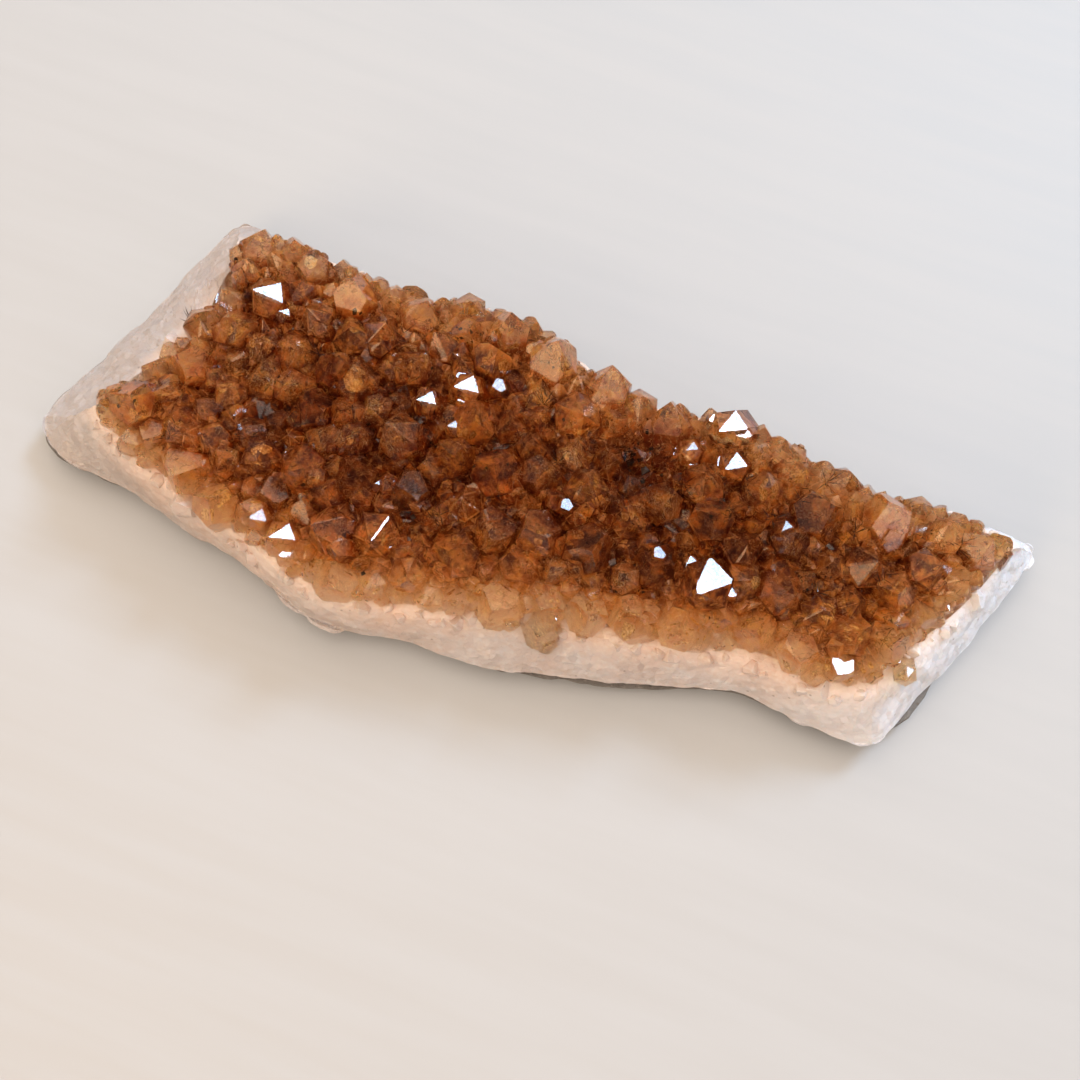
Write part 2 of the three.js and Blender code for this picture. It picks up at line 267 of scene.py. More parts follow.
def slab_height(x, y):
    """Height of the quartz slab's upper surface."""
    inset, rim, _, _ = edge_at(x, y)
    slope = np.sin(np.minimum(inset / rim, 1) * math.pi / 2)
    dome = 1 - np.exp(-np.maximum(inset - rim, 0) / DOME_REACH)
    swell = SWELL * np.sin(x / SWELL_LENGTH * math.pi * 2) * np.cos(y / SWELL_LENGTH * math.pi)
    height = FOOT_HEIGHT + RIM_RISE * slope + (DOME_RISE + swell) * dome
    for hollow_x, hollow_y, depth, reach in HOLLOWS:
        height = height - depth * near(x, y, hollow_x, hollow_y, reach)
    return height


def ring(outline, inset, height):
    """A ring of points inset from the outline; the height is a number or a function of x, y."""
    start, end = SPINE
    along = np.clip((outline[:, 0] - start[0]) / (end[0] - start[0]), 0, 1)[:, None]
    centre = start + (end - start) * along
    across = centre - outline[:, :2]
    part = np.minimum(inset / np.hypot(across[:, 0], across[:, 1]), FURTHEST_IN)
    place = outline[:, :2] + across * part[:, None]
    if callable(height):
        level = height(place[:, 0], place[:, 1])
    else:
        level = np.full(len(place), float(height))
    return np.column_stack([place, level])


def ring_body(rings):
    """Corners and faces of a closed body through rings, from the bottom one to the top one."""
    count = len(rings[0])
    faces = [list(range(count))[::-1]]
    for level in range(len(rings) - 1):
        here = level * count
        for i in range(count):
            follow = (i + 1) % count
            faces.append([here + i, here + follow, here + count + follow, here + count + i])
    top = (len(rings) - 1) * count
    faces.append([top + i for i in range(count)])
    return np.vstack(rings), faces


# ------------------------------------------------------------------ the points


def polyhedron(normals, offsets):
    """Corners and faces of the body that a set of planes encloses."""
    planes = [(*normal, -offset) for normal, offset in zip(normals, offsets)]
    body = bmesh.new()
    for corner in geometry.points_in_planes(planes, 1e-4, 1e-5)[0]:
        body.verts.new(corner)
    bmesh.ops.remove_doubles(body, verts=body.verts, dist=2e-3)
    hull = bmesh.ops.convex_hull(body, input=body.verts)
    inner = [item for item in hull["geom_interior"] if isinstance(item, bmesh.types.BMVert)]
    bmesh.ops.delete(body, geom=inner, context="VERTS")
    bmesh.ops.dissolve_limit(body, angle_limit=0.01, verts=body.verts, edges=body.edges)
    body.verts.index_update()
    corners = np.array([vertex.co for vertex in body.verts])
    faces = [[vertex.index for vertex in face.verts] for face in body.faces]
    body.free()
    return corners, faces


def point_planes(half_width, small_face_offset, uneven, flats, chamfer):
    """Planes of a six-sided quartz point along +Z, its shoulder at z = 0.

    uneven holds six shares by which the end faces are cut deeper than on a perfect point;
    flats holds the turn, tilt and share of extra flats. Worn edges come last.
    """
    turns = np.arange(6) * math.pi / 3
    ring_x, ring_y = np.cos(turns), np.sin(turns)
    outward, upward = math.sin(FACE_ANGLE), math.cos(FACE_ANGLE)
    tip = half_width * math.tan(FACE_ANGLE)
    walls = np.column_stack([ring_x, ring_y, np.zeros(6)])
    wall_offsets = np.full(6, half_width)
    ends = np.column_stack([outward * ring_x, outward * ring_y, np.full(6, upward)])
    lift = np.where(np.arange(6) % 2 == 0, 0, small_face_offset * half_width)
    end_offsets = upward * tip * (1 - np.asarray(uneven)) + lift
    normals = [walls, ends, [(0, 0, -1)]]
    offsets = [wall_offsets, end_offsets, [ROOT_DEPTH + half_width]]
    for turn, tilt, share in flats:
        aside = math.sin(tilt)
        normals.append([(aside * math.cos(turn), aside * math.sin(turn), math.cos(tilt))])
        offsets.append([share * max(tip * math.cos(tilt), half_width * aside)])
    if chamfer > 0:
        for first, second, d_first, d_second in (
            (ends, np.roll(ends, -1, axis=0), end_offsets, np.roll(end_offsets, -1)),
            (ends, walls, end_offsets, wall_offsets),
        ):
            middle = first + second
            length = np.linalg.norm(middle, axis=1)
            normals.append(middle / length[:, None])
            offsets.append((d_first + d_second) / length - chamfer)
    return np.vstack(normals), np.concatenate(offsets)


def standing(point):
    """The turn of a point that leans where it grew."""
    axis = Vector((-math.sin(point["heading"]), math.cos(point["heading"]), 0))
    leaning = Matrix.Rotation(point["lean"], 3, axis)
    return np.array(leaning @ Matrix.Rotation(point["turn"], 3, "Z"))


def new_point(x, y, half_width, shoulder, lean, heading, turn):
    """One point of the crust, as plain values."""
    base = float(slab_height(x, y)[0])
    return {
        "x": x, "y": y, "half_width": half_width, "shoulder": shoulder,
        "lean": lean, "heading": heading, "turn": turn,
        "at": np.array([x, y, base + shoulder]), "is_chosen": False,
    }


def try_point(points, rng, sizes, crowding, is_allowed, shoulder_of):
    """One throw at a free place; returns the new point, or nothing."""
    x = rng.between(*THROW_X)
    y = rng.between(*THROW_Y)
    half_width = rng.between(*sizes)
    inset, rim, out_x, out_y = (float(value[0]) for value in edge_at(x, y))
    if not (is_allowed(inset, rim, half_width) and is_inside_edge(x, y)):
        return None
    if points:
        placed = np.array([(other["x"], other["y"], other["half_width"]) for other in points])
        apart = np.hypot(placed[:, 0] - x, placed[:, 1] - y)
        if (apart <= crowding * (placed[:, 2] + half_width)).any():
            return None
    outward = EDGE_LEAN * math.exp(-max(inset - rim, -4) / EDGE_LEAN_REACH) / inset
    stray = rng.between(0, RANDOM_LEAN)
    stray_heading = rng.between(0, 2 * math.pi)
    lean_x = out_x * outward + stray * math.cos(stray_heading)
    lean_y = out_y * outward + stray * math.sin(stray_heading)
    shoulder = shoulder_of(rng, half_width)
    lean = math.radians(math.hypot(lean_x, lean_y))
    heading = math.atan2(lean_y, lean_x)
    turn = rng.between(0, 2 * math.pi)
    return new_point(x, y, half_width, shoulder, lean, heading, turn)


def scatter(points, rng, passes, is_allowed, shoulder_of):
    """Adds points to the list, pass by pass, wherever a throw finds a free place."""
    for low, high, tries, crowding in passes:
        for _ in range(tries):
            point = try_point(points, rng, (low, high), crowding, is_allowed, shoulder_of)
            if point:
                points.append(point)


def chosen_points(rows):
    """Points from rows of x, y, half width, shoulder height, lean and heading."""
    points = []
    for x, y, half_width, shoulder, lean, heading in rows:
        angles = (math.radians(angle) for angle in (lean, heading, heading + 180))
        point = new_point(x, y, half_width, shoulder, *angles)
        point["is_chosen"] = True
        points.append(point)
    return points


def lay_out_points():
    """The main points, in the model's own order, and the small ones between them."""
    points = chosen_points(LARGE_POINTS)
    rng = FixedRandom(RANDOM_START)

    def is_on_crust(inset, rim, half_width):
        return inset > rim + RIM_CLEARANCE * half_width

    def main_shoulder(rng, half_width):
        return rng.between(*SHOULDER_SHARES) * (0.8 + half_width)

    def fill_shoulder(rng, half_width):
        return rng.between(*FILL_SHOULDERS) - 0.3 * half_width

    scatter(points, rng, MAIN_PASSES, is_on_crust, main_shoulder)
    points += chosen_points(GLINT_POINTS)
    scatter(points, rng, FILL_PASSES, is_on_crust, fill_shoulder)
    return points


def side_points(points):
    """Smaller points grown against the larger ones, each turned as its neighbour is."""
    rng = FixedRandom(RANDOM_START + 2)
    grown = []
    for parent in points:
        for _ in range(SIDE_POINTS):
            side = rng.between(*SIDE_TURNS) + parent["turn"]
            size = rng.between(*SIDE_SIZES)
            reach = rng.between(*SIDE_REACHES)
            drop = rng.between(*SIDE_DROPS)
            half_width = parent["half_width"]
            if half_width < SIDE_LEAST:
                continue
            offset = np.array([reach * math.cos(side), reach * math.sin(side), -drop]) * half_width
            at = parent["at"] + standing(dict(parent, turn=0.0)) @ offset
            own = {"x": at[0], "y": at[1], "at": at, "half_width": size * half_width}
            grown.append(parent | own | {"is_chosen": False})
    return grown


def lay_out_rim_points(crust_points):
    """Pale points half sunk in the rim, outside the amber ones."""
    rng = FixedRandom(RANDOM_START + 1)
    points = list(crust_points)

    def is_on_rim(inset, rim, half_width):
        return rim - 2.6 + 0.4 * half_width < inset < rim + 2 and inset > 1.5 * half_width

    def sunk_shoulder(rng, half_width):
        return rng.between(*RIM_SHOULDERS) * half_width

    scatter(points, rng, RIM_PASSES, is_on_rim, sunk_shoulder)
    return points[len(crust_points):]


def point_body(point, shape):
    """Planes, corners and faces of one point where it stands, and where its worn edges start."""
    uneven = [shape.between(*DEEPER_CUTS) for _ in range(6)]
    small_face_offset = shape.between(*SMALL_FACE_OFFSETS)
    chamfer = max(0, shape.between(*CHAMFERS))
    largest_face = int(shape.between(0, 6))
    flats = []
    for _ in range(int(shape.between(0, MOST_FLATS))):
        turn = shape.between(0, 2 * math.pi)
        tilt = math.radians(shape.between(*FLAT_TILTS))
        flats.append((turn, tilt, shape.between(*FLAT_SHARES)))
    if point["is_chosen"]:
        flats = []
    else:
        uneven[largest_face] += LARGEST_FACE_CUT
    normals, offsets = point_planes(point["half_width"], small_face_offset, uneven, flats, chamfer)
    corners, faces = polyhedron(normals, offsets)
    turned = standing(point).T
    normals = normals @ turned
    worn_from = len(offsets) - CHAMFER_PLANES if chamfer > 0 else len(offsets)
    at = point["at"]
    return normals, offsets + normals @ at, corners @ turned + at, faces, worn_from


# --------------------------------------------------------------- making meshes

# From the script's millimetres to the model's metres: the slab's box gives the shift.
slab_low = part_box("quartz_matrix")[0]
SHIFT = np.array([slab_low.x / MM - edge[:, 0].min(), slab_low.y / MM - edge[:, 1].min(), 0.0])


def put_in_scene(name, data):
    """A new object in the scene."""
    item = bpy.data.objects.new(name, data)
    bpy.context.scene.collection.objects.link(item)
    return item


def new_mesh_object(name, corners, faces):
    """A mesh object in the model's frame from corners in millimetres."""
    mesh = bpy.data.meshes.new(name)
    mesh.from_pydata((np.asarray(corners) + SHIFT) * MM, [], faces)
    mesh.validate()
    mesh.update()
    return put_in_scene(name, mesh)


def join_to(base, bodies):
    """Joins overlapping bodies to a closed mesh, in one closed mesh."""
    name = base.data.name
    others = bpy.data.collections.new(name + "_parts")
    bpy.context.scene.collection.children.link(others)
    for index, (corners, faces) in enumerate(bodies):
        part = new_mesh_object(f"{name}_{index}", corners, faces)
        bpy.context.scene.collection.objects.unlink(part)
        others.objects.link(part)
    union = base.modifiers.new("union", "BOOLEAN")
    union.operation = "UNION"
    union.solver = "MANIFOLD"
    union.operand_type = "COLLECTION"
    union.collection = others
    evaluated = base.evaluated_get(bpy.context.evaluated_depsgraph_get())
    mesh = bpy.data.meshes.new_from_object(evaluated)
    mesh.name = name
    for part in list(others.objects):
        part_mesh = part.data
        bpy.data.objects.remove(part)
        bpy.data.meshes.remove(part_mesh)
    bpy.data.collections.remove(others)
    base.modifiers.clear()
    old = base.data
    base.data = mesh
    bpy.data.meshes.remove(old)
    return base


def shapes_of(bodies):
    """The corners and faces of point bodies."""
    return [(corners, faces) for _, _, corners, faces, _ in bodies]


def crust_floor():
    """The uneven floor that the points grew out of."""
    outline = closed_curve(EDGE, FLOOR_STEPS)
    rim = outline[:, 2]

    def raised(height):
        def level(x, y):
            places = [Vector((px, py, 0)) * FLOOR_LUMPS_PER_MM for px, py in zip(x, y)]
            uneven = FLOOR_LUMPS * np.array([noise.noise(place) for place in places])
            return slab_height(x, y) + height + (uneven if height > 0 else 0)
        return level

    return ring_body([ring(outline, rim + past, raised(height)) for past, height in FLOOR_RINGS])


def mesh_values(items, name, width, kind=float):
    """One property of a mesh's items as an array with this many columns."""
    values = np.empty(len(items) * width, kind)
    items.foreach_get(name, values)
    return values.reshape(-1, width) if width > 1 else values


def keep_values(mesh, name, domain, values):
    """Stores one number for each item of the mesh, for its material to read."""
    layer = mesh.attributes.new(name, "FLOAT", domain)
    layer.data.foreach_set("value", values.astype(np.float32))


# A face lies on a plane if its middle is this near and its normal agrees this well.
ON_PLANE = 0.01
SAME_WAY = 0.99


def owner_of_faces(piece, bodies):
    """The body and the plane of it that each face lies on, or -1, and whether it is worn."""
    mesh = piece.data
    centres = mesh_values(mesh.polygons, "center", 3) / MM - SHIFT
    directions = mesh_values(mesh.polygons, "normal", 3)
    owner = np.full(len(centres), -1)
    plane = np.full(len(centres), -1)
    is_worn = np.zeros(len(centres), bool)
    for index, (normals, offsets, corners, _, worn_from) in enumerate(bodies):
        close = np.flatnonzero(
            (centres > corners.min(axis=0) - ON_PLANE).all(axis=1)
            & (centres < corners.max(axis=0) + ON_PLANE).all(axis=1)
        )
        level = centres[close] @ normals.T - offsets
        highest = level.argmax(axis=1)
        touching = np.abs(level[np.arange(len(close)), highest]) < ON_PLANE
        facing = (directions[close] * normals[highest]).sum(axis=1) > SAME_WAY
        found = touching & facing
        owner[close[found]] = index
        plane[close[found]] = highest[found]
        is_worn[close[found]] = highest[found] >= worn_from
    return owner, plane, is_worn


# -------------------------------------------------------------------- colours

# Linear colours of the crust: the painted shade of the grooves, then three kinds of point, and the
# pale edges.
PAINTED_SHADE = np.array((0.08, 0.013, 0.002))
RED_BROWN = np.array((0.72, 0.15, 0.02))
AMBER = np.array((1.0, 0.38, 0.05))
GOLD = np.array((1.0, 0.55, 0.16))
CLOUDY = np.array((1.0, 0.68, 0.44))
HONEY = np.array((1.0, 0.80, 0.56))
PALE = np.array((1.0, 0.99, 0.98))


def mix(first, second, share):
    """Blend of two colours, or of one colour per point."""
    share = np.clip(np.asarray(share, float), 0, 1)[..., None]
    return first * (1 - share) + second * share


FACE_TONES = 12
SKY_RAYS = 14
SKY_REACH = 9
SKY_START = 0.06
# The shares of open sky at which a place gets full painted groove shade and full painted light.
DARK_SKY, LIGHT_SKY = 0.40, 0.84
# How far the gold and, by x, the pale tone reach in from the rim; where the front starts.
GOLD_REACH = 6
PALE_REACH_AT = (-45, -15, 55, 80)
PALE_REACHES = (2.4, 4.6, 4.2, 3.0)
FRONT_FROM, FRONT_WIDTH, LEAST_FRONT = 14, 18, 0.2
REGION_SIZE, REGION_SEED = 15, 3.0
# The half widths from which chosen points are clear and other points waxy.
CLEAR_FROM, WAXY_FROM = 2.25, 1.9
SMALL_CHOSEN_FROST = 1.6


def open_sky(piece):
    """Share of the sky that each vertex sees past the points around it."""
    mesh = piece.data
    places = [vertex.co for vertex in mesh.vertices]
    tree = BVHTree.FromPolygons(places, [polygon.vertices[:] for polygon in mesh.polygons])
    rays = []
    for index in range(SKY_RAYS):
        lift = math.sqrt((index + 0.5) / SKY_RAYS)
        turn = index * math.pi * (3 - math.sqrt(5))
        flat = math.sqrt(1 - lift ** 2)
        rays.append(Vector((flat * math.cos(turn), flat * math.sin(turn), lift)))
    seen = []
    for vertex in mesh.vertices:
        start = vertex.co + (vertex.normal + Vector((0, 0, 1))) * SKY_START * MM
        free = sum(tree.ray_cast(start, ray, SKY_REACH * MM)[0] is None for ray in rays)
        seen.append(free / SKY_RAYS)
    return np.array(seen)


def paint_crust(piece, points, shares, owner, plane, is_worn):
    """Colour and gloss of every face corner of the crust, by place, groove, point and face; grooves
    and the deepest hollow get painted shade, open places and worn edges painted light.
    """
    mesh = piece.data
    rng = FixedRandom(TONE_START)
    # The last one of each is for the floor between the points.
    own_tone = np.array([rng.between(-1, 1) for _ in points] + [0.0])
    own_cloud = np.append(shares, 0.0)
    own_frost = np.array([frost_of(point, rng) for point in points] + [0.6])
    own_smoke = np.array([max(0, rng.between(-1.0, 0.95)) for _ in points] + [0.3])
    face_tones = np.array([
        [rng.between(0, 1) for _ in range(FACE_TONES)] for _ in range(len(points) + 1)
    ])
    own_facet = face_tones[owner, plane % FACE_TONES]

    places = mesh_values(mesh.vertices, "co", 3) / MM - SHIFT
    x, y, _ = places.T
    inset, rim, _, _ = edge_at(x, y)
    past_rim = np.where([is_inside_edge(px, py) for px, py in zip(x, y)], inset - rim, 0.0)
    past_rim = np.maximum(past_rim, 0)
    hollow_x, hollow_y, _, hollow_reach = HOLLOWS[0]
    hollow = near(x, y, hollow_x, hollow_y, 0.85 * hollow_reach)
    # Painted light from the share of open sky, with painted shade in the grooves and in the deepest
    # hollow.
    lit = np.clip((open_sky(piece) - DARK_SKY) / (LIGHT_SKY - DARK_SKY), 0, 1)
    lit = lit ** 2 * (3 - 2 * lit) * (1 - 0.95 * hollow)
    region = lumps(np.column_stack([x, y, np.zeros(len(x))]), REGION_SIZE, REGION_SEED)
    golden = np.clip((x - 15) / 80, -0.6, 0.6) + 0.9 * region
    # The pale zone is widest along the front and thin along the back.
    frontness = np.clip((FRONT_FROM - y) / FRONT_WIDTH, LEAST_FRONT, 1)
    pale_reach = np.interp(x, PALE_REACH_AT, PALE_REACHES)
    paleness = np.exp(-(past_rim / pale_reach) ** 2) * frontness
    goldness = np.exp(-past_rim / GOLD_REACH)

    at = mesh_values(mesh.loops, "vertex_index", 1, int)
    loop_total = mesh_values(mesh.polygons, "loop_total", 1, int)
    corner_owner = np.repeat(owner, loop_total)
    axes = [standing(point)[:, 2] / point["half_width"] for point in points]
    middles = [point["at"] for point in points]
    axes, middles = (np.array(rows + [np.zeros(3)]) for rows in (axes, middles))
    rise = ((places[at] - middles[corner_owner]) * axes[corner_owner]).sum(axis=1)
    corner_facet = np.repeat(own_facet, loop_total)
    corner_worn = np.repeat(is_worn, loop_total)

    # The body colour: amber, red brown or gold by point, place and face, milky in cloudy tips.
    tone = 1.1 * own_tone[corner_owner] + golden[at] + 0.5 * (corner_facet - 0.5)
    body = mix(mix(AMBER, RED_BROWN, -tone * 1.2), GOLD, tone * 0.9)
    body = mix(body, GOLD, goldness[at])
    cloudiness = 0.9 * np.clip(0.3 + rise, 0, 1) * np.clip(own_cloud[corner_owner], 0, 1)
    body = mix(body, CLOUDY, cloudiness)
    smoke = np.maximum(own_smoke[corner_owner], 0.75 * corner_facet ** 3) * (1 - goldness[at])
    body = mix(body, HONEY, 0.5 * np.clip(0.3 - corner_facet, 0, 1) / 0.3)
    # Painted light: honey where the sky is most open. Painted shade: darker towards the grooves as
    # the open sky closes in, and smoky points darker at random.
    body = mix(body, HONEY, 0.5 * np.clip((lit[at] - 0.6) / 0.4, 0, 1))
    painted_light_less_smoke = (0.04 + 0.96 * lit[at]) * (1 - smoke)
    # Near the rim the points are pale below and golden at the tip.
    paleness = paleness[at] * (1 - 0.6 * np.clip(1.2 * rise, 0, 1))
    # Painted shade goes into the grooves, less on the pale points near the rim; the honey near the
    # rim is stronger where the sky is open (painted light), and the pale tone turns honey in the
    # grooves (painted shade).
    colour = mix(PAINTED_SHADE, body, np.maximum(painted_light_less_smoke, 0.8 * paleness))
    colour = mix(colour, HONEY, goldness[at] * (0.25 + 0.35 * lit[at]))
    pale = mix(PALE, HONEY, 0.25 + 0.4 * own_tone[corner_owner] + 0.3 * (1 - lit[at]))
    colour = mix(colour, pale, paleness)
    # Painted highlight: the worn edge faces are honey, as bright lines along the edges.
    colour = mix(colour, HONEY, 0.75 * corner_worn)

    # Painted shade: most faces in the deepest hollow are nearly black.
    painted_hollow_shade = np.clip(1.4 * hollow[at] - 0.3, 0, 1) * np.clip(3 * corner_facet, 0, 1)
    colour = mix(colour, 1.5 * PAINTED_SHADE, 0.8 * painted_hollow_shade)

    tint = mesh.color_attributes.new("tint", "FLOAT_COLOR", "CORNER")
    rows = np.column_stack([colour, np.ones(len(colour))])
    tint.data.foreach_set("color", rows.astype(np.float32).ravel())
    keep_values(mesh, "amber", "CORNER", 1 - paleness)
    keep_values(mesh, "rise", "CORNER", rise)
    keep_values(mesh, "frost", "CORNER", own_frost[corner_owner])


def frost_of(point, rng):
    """How dull a point's faces are: chosen ones clear, the larger of the rest waxy."""
    chance = rng.between(0, 1)
    if point["is_chosen"]:
        return 0.0 if point["half_width"] > CLEAR_FROM else SMALL_CHOSEN_FROST
    return 0.25 + 0.75 * chance if point["half_width"] > WAXY_FROM else 0.6 * chance


# ---------------------------------------------- what is sealed in the crystals

# Veils: how many, their thickness, the least half width of their point, and their clearance.
VEILS_PER_POINT = 3
VEIL_THICKNESS = 0.05
VEIL_LEAST = 2.2
VEIL_CLEARANCE = 0.12
# Haze: slivers in a cloudy point of half width 3, the least half width, the slivers' size,
# stray and clearance, and how cloudy the clear points and the overhanging ones are.
HAZE_SLIVERS = 300
HAZE_LEAST = 1.4
HAZE_LENGTHS = (0.12, 0.5)
HAZE_WIDTH = 0.09
HAZE_DEPTH = 0.4
HAZE_STRAY = 0.35
HAZE_CLEARANCE = 0.25
CLEAR_SHARE = 0.04
OVERHANG_SHARE = 0.7
# Grains of iron oxide: where they are tried, and their height above the slab.
GRAIN_TRIES = 2600
GRAIN_X = (-85, 85)
GRAIN_Y = (-28, 34)
GRAIN_LIFTS = (1.8, 3.4)
GRAIN_RADII = (0.2, 0.6)
NEEDLES = 9
NEEDLE_REACH = 2.6
NEEDLE_RADIUS = 0.08
NEEDLE_SPRAYS = [
    (36, 15), (45, 16), (33, 9), (41, 11), (61, 8), (-30, 20), (-2, 17), (52, 2),
    (20, -9), (-48, -6), (55, 14), (26, 12), (-42, 12), (-66, 10), (4, 8), (-12, -8),
    (66, 0), (-60, -10), (72, 18), (48, 21),
]


def flake(middle, normal, radius, rng):
    """Corners and faces of a thin plate with an uneven outline."""
    first = Vector(normal).orthogonal().normalized()
    second = Vector(normal).cross(first)
    sides = 5 + int(rng.between(0, 3))
    outline = []
    for side in range(sides):
        turn = (side + rng.between(-0.3, 0.3)) * 2 * math.pi / sides
        reach = radius * rng.between(0.5, 1.0)
        outline.append(Vector(middle) + (first * math.cos(turn) + second * math.sin(turn)) * reach)
    lift = Vector(normal).normalized() * VEIL_THICKNESS / 2
    return ring_body([np.array([place + way * lift for place in outline]) for way in (-1, 1)])


def two_tipped(corners):
    """Corners and faces of a body with four corners round its middle and a tip on each side."""
    faces = []
    for side in range(4):
        follow = (side + 1) % 4
        faces += [[side, follow, 4], [follow, side, 5]]
    return np.array(corners), faces


def needle(start, end, radius):
    """Corners and faces of a thin needle with two sharp ends."""
    start, end = Vector(start), Vector(end)
    first = (end - start).orthogonal().normalized() * radius
    second = (end - start).normalized().cross(first)
    middle = (start + end) / 2
    around = [middle + first, middle + second, middle - first, middle - second]
    return two_tipped(around + [end, start])


def grain(middle, radius, rng):
    """Corners and faces of a small rough grain."""
    corners = []
    for x, y, z in ((1, 0, 0), (0, 1, 0), (-1, 0, 0), (0, -1, 0), (0, 0, 1), (0, 0, -1)):
        reach = radius * rng.between(0.5, 1.2)
        corners.append((middle[0] + x * reach, middle[1] + y * reach, middle[2] + z * reach * 0.7))
    return two_tipped(corners)


def loose(name, bodies):
    """One mesh of separate closed bodies."""
    corners, faces, count = [], [], 0
    for body_corners, body_faces in bodies:
        corners.append(body_corners)
        faces += [[count + index for index in face] for face in body_faces]
        count += len(body_corners)
    return new_mesh_object(name, np.vstack(corners), faces)


def veils(points, bodies):
    """Healed cracks inside the larger points, each a thin plate clear of the point's faces."""
    rng = FixedRandom(VEIL_START)
    plates = []
    for point, (normals, offsets, *_) in zip(points, bodies):
        half_width = point["half_width"]
        if half_width < VEIL_LEAST:
            continue
        for _ in range(VEILS_PER_POINT):
            local = [rng.between(-0.6, 0.6), rng.between(-0.6, 0.6), rng.between(-0.8, 0.7)]
            middle = np.array(local) * half_width @ standing(point).T + point["at"]
            normal = [rng.between(-1, 1), rng.between(-1, 1), rng.between(-0.2, 1)]
            corners, faces = flake(middle, normal, half_width * rng.between(0.2, 0.6), rng)
            if (corners @ normals.T < offsets - VEIL_CLEARANCE).all():
                plates.append((corners, faces))
    return loose("healed_veils", plates)


def cloudy_shares(points):
    """How milky each point is inside: half of them, fewer near the rim, and any that overhang."""
    rng = FixedRandom(CLOUDY_START)
    inset, rim, _, _ = edge_at(*np.array([point["at"][:2] for point in points]).T)
    shares = []
    for point, past_rim in zip(points, inset - rim):
        share = CLEAR_SHARE + 1.2 * max(0, rng.between(-1, 1)) ** 1.3
        share *= 1 - 0.8 * math.exp(-max(past_rim, 0) / 3)
        if point["is_chosen"]:
            share = CLEAR_SHARE
        if past_rim < -1:
            share = OVERHANG_SHARE
        shares.append(share)
    return np.array(shares)


def haze(points, bodies, shares):
    """Clouds of fine pale slivers inside the milky points, streaked one way in each."""
    rng = np.random.default_rng(HAZE_START)
    clouds = []
    for point, share, (normals, offsets, *_) in zip(points, shares, bodies):
        half_width = point["half_width"]
        streak = rng.normal(size=3)
        streak /= np.linalg.norm(streak)
        count = int(HAZE_SLIVERS * share * (half_width / 3) ** 2)
        if half_width < HAZE_LEAST or count == 0:
            continue
        local = rng.uniform((-0.85, -0.85, -0.5), (0.85, 0.85, 0.95), (count, 3)) * half_width
        middle = local @ standing(point).T + point["at"]
        heading = streak + rng.normal(0, HAZE_STRAY, (count, 3))
        along = heading * rng.uniform(*HAZE_LENGTHS, (count, 1))
        across = np.cross(rng.normal(size=(count, 3)), streak)
        across *= HAZE_WIDTH / np.linalg.norm(across, axis=1)[:, None]
        lift = np.cross(streak, across) * HAZE_DEPTH
        corners = np.stack([middle + along, middle - along, middle + across, middle + lift], axis=1)
        is_inside = (corners @ normals.T < offsets - HAZE_CLEARANCE).all(axis=(1, 2))
        clouds.append(corners[is_inside])
    corners = np.concatenate(clouds)
    first = np.arange(len(corners))[:, None, None] * 4
    faces = first + np.array([(0, 1, 2), (0, 3, 1), (1, 3, 2), (2, 3, 0)])
    return new_mesh_object("haze", corners.reshape(-1, 3), faces.reshape(-1, 3).tolist())


def inclusions():
    """Dark grains of iron oxide in the grooves, and sprays of dark needles."""
    rng = FixedRandom(GRAIN_START)
    hollow_x, hollow_y, _, reach = HOLLOWS[0]
    bodies = []
    for _ in range(GRAIN_TRIES):
        x, y = rng.between(*GRAIN_X), rng.between(*GRAIN_Y)
        radius = rng.between(*GRAIN_RADII)
        lift = rng.between(*GRAIN_LIFTS)
        chance = rng.between(0, 1)
        inset, rim, _, _ = (float(value[0]) for value in edge_at(x, y))
        near_hollow = near(x, y, hollow_x, hollow_y, 0.6 * reach)
        if inset > rim + 3 and is_inside_edge(x, y) and chance < 0.04 + 0.9 * near_hollow:
            height = float(slab_height(x, y)[0]) + lift + 1.5 * near_hollow
            bodies.append(grain((x, y, height), radius * (1 + near_hollow), rng))
    for x, y in NEEDLE_SPRAYS:
        height = float(slab_height(x, y)[0]) + NEEDLE_REACH
        for _ in range(NEEDLES):
            tip_x = x + rng.between(-NEEDLE_REACH, NEEDLE_REACH)
            tip_y = y + rng.between(-NEEDLE_REACH, NEEDLE_REACH)
            tip = (tip_x, tip_y, height + rng.between(1.0, 2.8))
            bodies.append(needle((x, y, height), tip, NEEDLE_RADIUS))
    return loose("iron_inclusions", bodies)


# ------------------------------------------------------- the slab and its skin


def lumps(places, size, seed):
    """Soft noise from -1 to 1 at places in millimetres, with bumps about this size."""
    offset = Vector((seed, seed * 0.7, 0))
    return np.array([noise.noise(Vector(place) / size + offset) for place in places])


def chips(places, size, seed):
    """Flat chips of about this size: a value that slopes its own way within each chip."""
    values = []
    for place in places:
        spot = Vector(place) / size + Vector((seed, 0, 0))
        middle = noise.voronoi(spot)[1][0]
        slope = noise.cell_vector(middle * 7.3) - Vector((0.5, 0.5, 0.5))
        values.append((spot - middle).dot(slope) + 0.3 * slope.z)
    return np.array(values)


def weather(piece, displacement):
    """Moves each vertex along its normal by the displacement, in millimetres."""
    mesh = piece.data
    places = mesh_values(mesh.vertices, "co", 3)
    normals = mesh_values(mesh.vertices, "normal", 3)
    amount = displacement(places / MM - SHIFT)
    mesh.vertices.foreach_set("co", (places + normals * amount[:, None] * MM).ravel())
    mesh.update()


def mark_past_rim(piece):
    """Tells a piece's material how far past the pale rim each vertex is, in millimetres."""
    mesh = piece.data
    places = mesh_values(mesh.vertices, "co", 3) / MM - SHIFT
    inset, rim, _, _ = edge_at(places[:, 0], places[:, 1])
    keep_values(mesh, "past_rim", "POINT", inset - rim)


